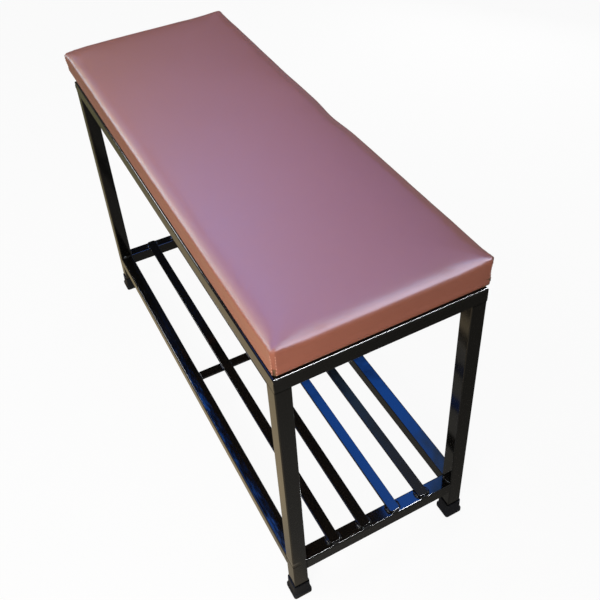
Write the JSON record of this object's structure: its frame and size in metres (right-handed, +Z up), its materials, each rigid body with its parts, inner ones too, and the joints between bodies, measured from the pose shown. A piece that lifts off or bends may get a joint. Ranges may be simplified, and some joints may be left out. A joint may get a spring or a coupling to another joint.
{
  "type": "shoe rack bench",
  "caption": "Welded square-tube bench with a padded leatherette seat on top and a low slatted shoe shelf between its legs, standing on capped feet.",
  "frame": {"origin": "middle of the space that the bench takes up on the floor, at floor level", "axes": "+X along the bench's length, towards the end where the seat is flush with the frame; +Y from front to back; +Z up"},
  "size_m": [0.957, 0.3462, 0.5976],
  "materials": {
    "black_paint": "gloss black paint",
    "foot_rubber": "satin moulded",
    "leatherette": "semi-gloss, fine grain",
    "plywood": "raw sanded",
    "foam": "open cell",
    "zinc_steel": "zinc plated"
  },
  "bodies": {
    "root": {"top_rail_front": "black_paint", "top_rail_back": "black_paint", "top_rail_left": "black_paint", "top_rail_right": "black_paint", "leg_front_left": "black_paint", "leg_front_right": "black_paint", "leg_back_left": "black_paint", "leg_back_right": "black_paint", "shelf_rail_front": "black_paint", "shelf_rail_back": "black_paint", "shelf_rail_left": "black_paint", "shelf_rail_right": "black_paint", "shelf_cross_bar": "black_paint", "shelf_slat_1": "black_paint", "shelf_slat_2": "black_paint", "shelf_slat_3": "black_paint", "shelf_slat_4": "black_paint", "foot_cap_front_left": "foot_rubber", "foot_cap_front_right": "foot_rubber", "foot_cap_back_left": "foot_rubber", "foot_cap_back_right": "foot_rubber", "top_corner_welds": "black_paint", "leg_welds": "black_paint", "shelf_rail_welds": "black_paint", "slat_welds": "black_paint", "cross_bar_welds": "black_paint", "seat_board": "plywood", "seat_foam": "foam", "seat_cover": "leatherette", "seat_screws": "zinc_steel", "cover_staples": "zinc_steel"}
  },
  "joints": []
}
